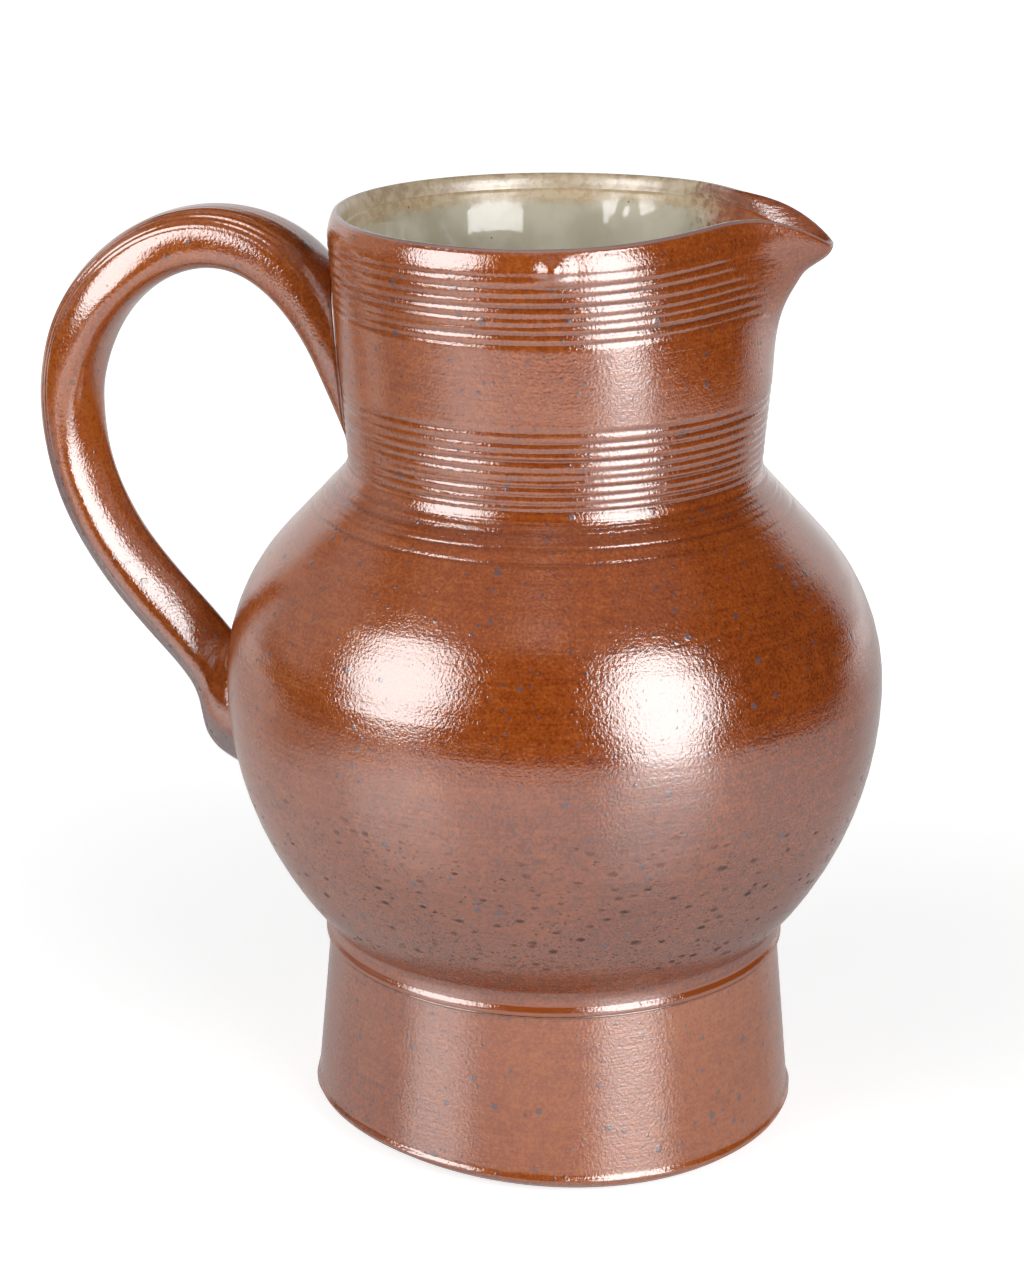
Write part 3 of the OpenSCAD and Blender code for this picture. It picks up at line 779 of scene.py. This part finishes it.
def firedTone(tree, point, axes, streak, mottle, options):
    # three browns, from deep to light, by a sum of cloudy, mottled, dusty and streaked noise
    cloud, dust = grain(tree, point, 26.0, 2.0), grain(tree, point, 0.75, 2.0)
    tone = maths(tree, "MULTIPLY_ADD", cloud, 0.18, maths(tree, "MULTIPLY", mottle, 0.25))
    tone = maths(tree, "MULTIPLY_ADD", dust, 0.5, maths(tree, "ADD", tone, -0.015))
    tone = maths(tree, "MULTIPLY_ADD", streak, 0.22, tone)
    # it changes from the spout to the handle and from the foot to the neck
    tone = maths(tree, "ADD", tone, between(tree, axes[0], 90.0, -130.0, *options["along"]))
    tone = maths(tree, "ADD", tone, between(tree, axes[2], 70.0, 210.0, *options["rise"]))
    colour = mixed(tree, between(tree, tone, 0.40, 0.58), glaze["deep"], glaze["body"])
    return mixed(tree, between(tree, tone, 0.56, 0.74), colour, glaze["light"])


def pitted(tree, point, height, options):
    # flat pits, large and small, in loose patches between pitTop and the bead
    big = specks(tree, stretched(tree, point, (0.6, 0.6, 1.2), (0.3, 0.1, 0)), *glaze["bigPits"])
    small = specks(tree, stretched(tree, point, (0.7, 0.7, 1.2), (0.1, 0.5, 0)), *glaze["smallPits"])
    pits = maths(tree, "MAXIMUM", big, maths(tree, "MULTIPLY", small, 0.75))
    low = maths(tree, "MULTIPLY", between(tree, height, options["pitTop"], options["pitFull"]),
                between(tree, height, seatZ + 7, seatZ + 13))
    low = maths(tree, "MULTIPLY", low, between(tree, grain(tree, point, 7.0, 2.0), 0.3, 0.62, 0.25, 1.0))
    return maths(tree, "MULTIPLY", pits, low)


def wearAndSheenOnBack(tree, point, colour, mottle, options):  # grey-lilac wear, partly a painted reflection of the pale table, and dark spots along the strap's back
    wornAndSheened = maths(tree, "MULTIPLY", between(tree, field(tree, "back"), *options["wearAndSheenEdge"]),
                 between(tree, mottle, 0.25, 0.45))
    wornAndSheened = maths(tree, "MULTIPLY", wornAndSheened, between(tree, field(tree, "run"), *options["wearAndSheenRun"]))
    spots = specks(tree, point, *glaze["wornSpots"])
    colour = mixed(tree, maths(tree, "MULTIPLY", wornAndSheened, options["wearAndSheen"]), colour, glaze["lilacWearAndSheen"])
    return mixed(tree, maths(tree, "MULTIPLY", wornAndSheened, spots), colour, glaze["pit"])


def rimAndGrooves(tree, colour, height, mottle, turn):
    # painted shade in the grooves and brown glaze on the bead; at the rim the glaze thins to a grey line
    # and gives way to the liner's tan, apart from the spout
    # painted shade in the grooves, darker where a line is deeper
    colour = mixed(tree, maths(tree, "MULTIPLY", field(tree, "groove"), 0.42), colour, glaze["grooveShade"])
    colour = mixed(tree, between(tree, height, seatZ + 3.4, seatZ + 2.8), colour, glaze["seam"])
    zone = field(tree, "zone")
    line = maths(tree, "MULTIPLY", between(tree, zone, 1.05, 1.13), between(tree, zone, 1.42, 1.3))
    colour = mixed(tree, maths(tree, "MULTIPLY", line, 0.8), colour, glaze["rimLine"])
    bare = maths(tree, "MULTIPLY", between(tree, zone, 1.32, 1.44), between(tree, turn, 48.0, 70.0))
    tan = mixed(tree, between(tree, mottle, 0.36, 0.6), *glaze["tan"])
    return mixed(tree, bare, colour, tan), bare


def saltGlaze(name, options):
    # a glossy fired skin: browns, turning streaks, blue-grey specks that stand up a little and an orange
    # peel's relief; the body also has pits, painted shade in its grooves, the rim and the wrinkles of the
    # spout, and the strap its wear with a painted reflection of the table
    material, tree, point = newMaterial(name)
    axes = place(tree, "ShaderNodeSeparateXYZ", {0: point}).outputs
    height = axes[2]
    streak = grain(tree, stretched(tree, point, options["streak"], options["streakTurn"]), 1.0, 3.0, 0.6)
    mottle = grain(tree, point, 3.2, 3.0, 0.6)
    colour = firedTone(tree, point, axes, streak, mottle, options)
    big = specks(tree, point, *glaze["bigSpecks"])
    small = specks(tree, stretched(tree, point, (1, 1, 1), (0.4, 0.7, 0.2)), *glaze["smallSpecks"])
    speckled = maths(tree, "MAXIMUM", big, small)
    peel = grain(tree, point, glaze["peelSize"], 2.0, 0.55)
    relief = maths(tree, "MULTIPLY", peel, glaze["peelHeight"] * options["peel"])
    relief = maths(tree, "MULTIPLY_ADD", streak, options["streakHeight"], relief)
    relief = maths(tree, "MULTIPLY_ADD", speckled, glaze["speckHeight"], relief)
    rough = maths(tree, "MULTIPLY_ADD", mottle, 0.10, options["rough"] - 0.05)
    rough = maths(tree, "MULTIPLY_ADD", big, 0.12, rough)
    gloss = {"IOR": glaze["ior"]}
    if "pitTop" in options:  # pits are dark, sunk, rough and dull
        pits = pitted(tree, point, height, options)
        colour = mixed(tree, pits, colour, glaze["pit"])
        relief = maths(tree, "MULTIPLY_ADD", pits, -glaze["pitDepth"], relief)
        rough = maths(tree, "MULTIPLY_ADD", pits, 0.4, rough)
        gloss["Specular IOR Level"] = maths(tree, "MULTIPLY_ADD", pits, -0.36, 0.5)
    colour = mixed(tree, maths(tree, "MULTIPLY", speckled, 0.72), colour, glaze["speck"])
    # grey-lilac wear on the strap, partly a painted reflection of the pale table
    if "wearAndSheen" in options:
        colour = wearAndSheenOnBack(tree, point, colour, mottle, options)
    if "wrinkleHeight" in options:
        turn = maths(tree, "MULTIPLY_ADD", mottle, 30.0, field(tree, "spoutTurn"))
        colour, bare = rimAndGrooves(tree, colour, height, mottle, turn)
        # short level wrinkles where the spout was pulled
        pulled = maths(tree, "MULTIPLY", between(tree, turn, 58.0, 30.0),
                       between(tree, height, pullZ + 8, pullZ + 26))
        wrinkle = grain(tree, stretched(tree, point, (0.3, 0.3, 1.2)), 1.0, 2.0)
        wrinkle = maths(tree, "MULTIPLY", wrinkle, pulled)
        relief = maths(tree, "MULTIPLY_ADD", wrinkle, options["wrinkleHeight"], relief)
        rough = maths(tree, "MULTIPLY_ADD", pulled, 0.1, rough)
        rough = maths(tree, "MULTIPLY_ADD", bare, 0.25, rough)
    skin(tree, colour, rough, relief, **gloss)
    return material


pooledSlip = {"dark": shade(112, 54, 24), "light": shade(142, 74, 36), "grainHeight": 0.04}


def slipGlaze():
    # dark glaze that has pooled over the slip: brown mottled by noise, with a fine relief
    material, tree, point = newMaterial("slipGlaze")
    mottle = grain(tree, point, 2.0, 3.0, 0.6)
    colour = mixed(tree, between(tree, mottle, 0.35, 0.65), pooledSlip["dark"], pooledSlip["light"])
    relief = maths(tree, "MULTIPLY", grain(tree, point, 0.9), pooledSlip["grainHeight"])
    skin(tree, colour, maths(tree, "MULTIPLY_ADD", mottle, 0.12, 0.12), relief, IOR=glaze["ior"])
    return material


poured = {
    "grey": (shade(190, 183, 161), shade(210, 204, 184)),
    "tan": (shade(190, 164, 126), shade(206, 186, 154)),
    "speck": shade(110, 72, 58),
    "specks": (3.4, 0.5, 0.3),
    "tanDepth": (9.5, 13.5),  # below the rim, where tan gives way to grey
    "rough": (0.32, 0.08),  # on the tan and on the grey
    "rippleHeight": 0.06,
    "ior": 1.55,
    "gloss": 0.7,
}


def linerCoat():
    # a poured grey-green glaze, tan and grainy where it thins towards the rim, with red-brown specks; the
    # outer brown runs in over the spout
    material, tree, point = newMaterial("linerCoat")
    cloud = grain(tree, point, 14.0, 3.0)
    mottle = grain(tree, point, 2.4, 3.0, 0.6)
    colour = mixed(tree, between(tree, cloud, 0.35, 0.65), *poured["grey"])
    drop = field(tree, "drop")
    uneven = maths(tree, "MULTIPLY_ADD", cloud, 5.0, maths(tree, "MULTIPLY_ADD", mottle, 3.0, drop))
    tan = mixed(tree, between(tree, mottle, 0.4, 0.62), *poured["tan"])
    colour = mixed(tree, between(tree, uneven, *poured["tanDepth"]), tan, colour)
    turn = maths(tree, "MULTIPLY_ADD", mottle, 30.0, field(tree, "spoutTurn"))
    brown = maths(tree, "MULTIPLY", between(tree, turn, 66.0, 46.0), between(tree, drop, 26.0, 14.0))
    outer = mixed(tree, between(tree, mottle, 0.4, 0.6), glaze["body"], glaze["light"])
    colour = mixed(tree, brown, colour, outer)
    dots = specks(tree, point, *poured["specks"])
    colour = mixed(tree, maths(tree, "MULTIPLY", dots, 0.75), colour, poured["speck"])
    relief = maths(tree, "MULTIPLY", grain(tree, point, 4.0, 1.0), poured["rippleHeight"])
    rough = between(tree, uneven, *poured["tanDepth"], *poured["rough"])
    skin(tree, colour, rough, relief, **{"IOR": poured["ior"], "Specular IOR Level": poured["gloss"]})
    return material


# how the salt glaze came out on each piece; its tone changes by rise up the jug and by along to the handle
turned = {
    "streak": (0.03, 0.03, 1.1), "streakTurn": (0.02, 0.015, 0), "streakHeight": 0.055,
    "rough": 0.105, "peel": 1.0, "rise": (-0.045, 0.05), "along": (-0.06, 0.1),
    "pitTop": bellyZ, "pitFull": bellyZ - 34,  # pits begin, and are thickest
    "wrinkleHeight": 0.16,
}
footFinish = {
    "streak": (0.025, 0.025, 1.6), "streakTurn": (-0.03, 0.02, 0), "streakHeight": 0.05,
    "rough": 0.125, "peel": 1.0, "rise": (0.03, 0.03), "along": (0.07, -0.1),
}
strapFinish = {
    "streak": (0.25, 0.9, 0.25), "streakTurn": (0, 0, 0), "streakHeight": 0.02,
    "rough": 0.1, "peel": 0.8, "rise": (0.0, 0.0), "along": (-0.06, 0.1),
    "wearAndSheen": 0.9, "wearAndSheenEdge": (0.3, 0.5), "wearAndSheenRun": (0.4, 0.52),  # from side to back, and from root to tail
}

salt = saltGlaze("saltGlazeTurned", turned)
saltFoot = saltGlaze("saltGlazeFoot", footFinish)
saltStrap = saltGlaze("saltGlazeStrap", strapFinish)
slip = slipGlaze()
coat = linerCoat()
print("glazes mixed")

for piece, node, finish, slotName in (
        (throwBody(), "thrown_body", salt, "salt_glaze"),
        (turnFoot(), "pedestal_foot", saltFoot, "salt_glaze"),
        (pullHandle(), "handle", saltStrap, "salt_glaze"),
        (squeezeSlip(), "foot_luting", slip, "luting_slip"),
        (lutePad("upperSlip", upperPrint), "handle_upper_luting", slip, "luting_slip"),
        (lutePad("lowerSlip", lowerPrint), "handle_lower_luting", slip, "luting_slip"),
        (pourLiner(), "liner_glaze", coat, "liner_glaze")):
    piece.data.materials.append(finish)
    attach(piece, "root")
    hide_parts(node)
print("jug put together")

# the picture: camera, table with its sweep, lamps
view = {
    "azimuth": 12,  # how far the camera stands round towards the spout
    "distance": 0.7918,
    "rise": 0.3448,  # above the top of the foot
    "pitch": 18.2,
    "yaw": 0.824,  # the jug stands right of the middle of the picture
    "roll": 0.28,
    "lens": 85.10625,  # in millimetres
    "sensor": 36,  # its height
}


def setCamera():
    data = bpy.data.cameras.new("camera")
    data.lens, data.sensor_width = view["lens"], view["sensor"]
    camera = bpy.data.objects.new("camera", data)
    turn = math.radians(view["azimuth"])
    camera.location = (view["distance"] * math.sin(turn), -view["distance"] * math.cos(turn),
                       footTop * mm + view["rise"])
    # looks level towards the axis, then turns aside by yaw, down by pitch and about its own axis by roll
    camera.rotation_euler = (Matrix.Rotation(turn + math.radians(view["yaw"]), 3, "Z")
                             @ Matrix.Rotation(math.radians(90 - view["pitch"]), 3, "X")
                             @ Matrix.Rotation(math.radians(view["roll"]), 3, "Z")).to_euler()
    bpy.context.scene.collection.objects.link(camera)
    bpy.context.scene.camera = camera


table = {
    "front": -0.8, "back": 1.5, "bend": 0.5, "wall": 1.6,
    # half widths by the jug and far back, and where it begins to widen
    "leftHalf": 0.9, "leftBack": 2.6, "leftStart": 0.05,
    "rightHalf": 0.72, "rightBack": 2.3, "rightStart": 0.1,
    "white": 0.55,
    # whiteness for the camera by the jug and far off
    "nearLift": 0.72, "farLift": 1.0, "liftRun": (0.12, 0.55),
    # brightness in the glaze: near and far off, behind and in front of the jug, and close to it
    "mirrorLift": 0.42, "mirrorFar": 0.85, "mirrorRun": (0.6, 1.6),
    "mirrorBack": -0.12, "mirrorFront": 0.06, "frontRun": (-0.2, 0.3),
    "mirrorNear": -0.12, "nearRun": (0.22, 0.08),
    # a slanting line on the left, beyond which the glaze mirrors a dimmer table, apart from the part behind
    "edgeHalf": 0.36, "edgeSlant": 0.6, "edgeSoft": 0.04, "edgeDim": 0.62, "edgeRun": (-0.2, -0.05),
    # sheen of the table in the glaze, fading to the left
    "polish": 1.52, "polishRough": 0.06, "polishRun": (-0.42, -0.22),
}


def layTable():
    # a flat table that bends up into a wall behind: across by half width, along a line, a quarter round and
    # an upright, turned to face the camera
    flat = np.linspace(table["front"], table["back"], 30)
    turn = np.linspace(0, math.pi / 2, 20)[1:]
    rise = np.linspace(table["bend"], table["wall"], 8)[1:]
    y = np.concatenate([flat, table["back"] + table["bend"] * np.sin(turn),
                        np.full(len(rise), table["back"] + table["bend"])])
    z = np.concatenate([0 * flat, table["bend"] * (1 - np.cos(turn)), rise])
    left, right = [table[side + "Half"] + (table[side + "Back"] - table[side + "Half"]) * smooth(
        y, table[side + "Start"], table["back"]) for side in ("left", "right")]
    x = -left[:, None] + (left + right)[:, None] * np.linspace(0, 1, 16)[None, :]
    grid = np.stack([x, y[:, None] + 0 * x, z[:, None] + 0 * x], -1)
    spin = math.radians(view["azimuth"])
    grid = grid @ np.array(Matrix.Rotation(spin, 3, "Z")).T
    index = np.arange(x.size).reshape(x.shape)
    faces = np.stack([index[:-1, :-1], index[:-1, 1:], index[1:, 1:], index[1:, :-1]], -1).reshape(-1, 4)
    mesh = bpy.data.meshes.new("tableSweep")
    mesh.from_pydata(grid.reshape(-1, 3).tolist(), [], faces.tolist())
    mesh.shade_smooth()
    mesh.materials.append(tableWhite(spin))
    piece = bpy.data.objects.new("tableSweep", mesh)
    bpy.context.scene.collection.objects.link(piece)


def tableWhite(spin):
    # plain white that keeps shadows; the camera sees it lifted towards white, and the glaze mirrors it
    # brighter far off and dimmer close by and beyond the edge on the left
    material = bpy.data.materials.new("tableWhite")
    material.use_nodes = True
    tree = material.node_tree
    tree.nodes.clear()
    white, black = (1, 1, 1, 1), (0, 0, 0, 1)
    path = place(tree, "ShaderNodeLightPath").outputs
    spot = place(tree, "ShaderNodeTexCoord").outputs["Object"]
    axes = place(tree, "ShaderNodeSeparateXYZ", {0: spot}).outputs
    away = place(tree, "ShaderNodeVectorMath", {0: spot}, operation="LENGTH").outputs["Value"]
    toward = maths(tree, "MULTIPLY", axes[1], -math.cos(spin))
    toward = maths(tree, "MULTIPLY_ADD", axes[0], math.sin(spin), toward)
    side = maths(tree, "MULTIPLY", axes[1], math.sin(spin))
    side = maths(tree, "MULTIPLY_ADD", axes[0], math.cos(spin), side)
    beyond = maths(tree, "MULTIPLY_ADD", maths(tree, "MAXIMUM", toward, 0.0), table["edgeSlant"], side)
    beyond = between(tree, beyond, table["edgeSoft"] - table["edgeHalf"],
                     -table["edgeSoft"] - table["edgeHalf"])
    beyond = maths(tree, "MULTIPLY", beyond, between(tree, toward, *table["edgeRun"]))
    beyond = maths(tree, "MULTIPLY", beyond, path["Is Glossy Ray"])
    shown = maths(tree, "MULTIPLY_ADD", beyond, -table["edgeDim"], 1.0)
    plain = mixed(tree, shown, black, (table["white"],) * 3 + (1,))
    plain = place(tree, "ShaderNodeBsdfDiffuse", {"Color": plain}).outputs[0]
    gloss = place(tree, "ShaderNodeBsdfGlossy", {"Color": white, "Roughness": table["polishRough"]})
    polish = place(tree, "ShaderNodeFresnel", {"IOR": table["polish"]}).outputs[0]
    polish = maths(tree, "MULTIPLY", polish, between(tree, side, *table["polishRun"]))
    polished = place(tree, "ShaderNodeMixShader", {0: polish, 1: plain, 2: gloss.outputs[0]}).outputs[0]
    seen = place(tree, "ShaderNodeMixShader", {0: path["Is Glossy Ray"], 1: plain, 2: polished}).outputs[0]
    lift = between(tree, away, *table["liftRun"], table["nearLift"], table["farLift"])
    lift = maths(tree, "MULTIPLY", path["Is Camera Ray"], lift)
    front = between(tree, toward, *table["frontRun"], table["mirrorBack"], table["mirrorFront"])
    front = maths(tree, "MULTIPLY", front, between(tree, away, *table["mirrorRun"][::-1]))
    glint = between(tree, away, *table["mirrorRun"], table["mirrorLift"], table["mirrorFar"])
    glint = maths(tree, "ADD", maths(tree, "ADD", glint, front),
                  between(tree, away, *table["nearRun"], 0.0, table["mirrorNear"]))
    mirrored = maths(tree, "MAXIMUM", path["Is Glossy Ray"], path["Is Transmission Ray"])
    lift = maths(tree, "MULTIPLY_ADD", mirrored, maths(tree, "MULTIPLY", glint, shown), lift)
    glow = place(tree, "ShaderNodeEmission", {"Color": white, "Strength": lift}).outputs[0]
    both = place(tree, "ShaderNodeAddShader", {0: seen, 1: glow}).outputs[0]
    place(tree, "ShaderNodeOutputMaterial", {"Surface": both})
    return material


roomGrey = 0.03
# azimuth and elevation are degrees round and above the belly; a pane squares the mirror image of its box
lamps = {
    "rightBox": {"azimuth": -41, "elevation": 17, "distance": 1.15, "size": (0.70, 1.16), "power": 12.3,
                 "shape": "ELLIPSE"},
    "rightPane": {"azimuth": -41, "elevation": 17, "distance": 1.15, "size": (0.54, 0.92), "power": 9.6,
                  "cornerOf": "rightBox"},
    "leftBox": {"azimuth": -133.6, "elevation": 21.5, "distance": 1.15, "size": (0.79, 0.89), "power": 9.0,
                "shape": "ELLIPSE"},
    "leftPane": {"azimuth": -133.6, "elevation": 21.5, "distance": 1.15, "size": (0.61, 0.69), "power": 7.1,
                 "cornerOf": "leftBox"},
    "ceiling": {"azimuth": -95, "elevation": 76, "distance": 1.6, "size": (2.6, 1.7), "power": 2.1},
    "leftCard": {"azimuth": 172, "elevation": 24, "distance": 1.4, "size": (1.1, 1.0), "power": 1.1},
    "roomGlow": {"azimuth": -130, "elevation": 56, "distance": 1.6, "size": (1.4, 0.5), "power": 0.06},
    "topPanel": {"azimuth": -86, "elevation": 58, "distance": 1.3, "size": (0.2, 0.3), "power": 0.09},
}


def hangLamps():
    # soft boxes round the jug, each turned to face the belly
    target = Vector((0, 0, bellyZ * mm))
    for name, lamp in lamps.items():
        light = bpy.data.lights.new(name, "AREA")
        light.shape, light.energy = lamp.get("shape", "RECTANGLE"), lamp["power"]
        light.size, light.size_y = lamp["size"]
        piece = bpy.data.objects.new(name, light)
        a, e = math.radians(lamp["azimuth"]), math.radians(lamp["elevation"])
        way = Vector((math.cos(a) * math.cos(e), math.sin(a) * math.cos(e), math.sin(e)))
        piece.location = target + lamp["distance"] * way
        piece.rotation_euler = way.to_track_quat("Z", "Y").to_euler()
        piece.visible_diffuse = "cornerOf" not in lamp  # a pane shows in mirror images alone
        bpy.context.scene.collection.objects.link(piece)
    world = bpy.data.worlds.new("room")
    world.use_nodes = True
    world.node_tree.nodes["Background"].inputs["Color"].default_value = (roomGrey,) * 3 + (1,)
    bpy.context.scene.world = world


setCamera()
layTable()
hangLamps()
bpy.context.scene.view_settings.view_transform = "Standard"
print("table laid, lamps and camera set")
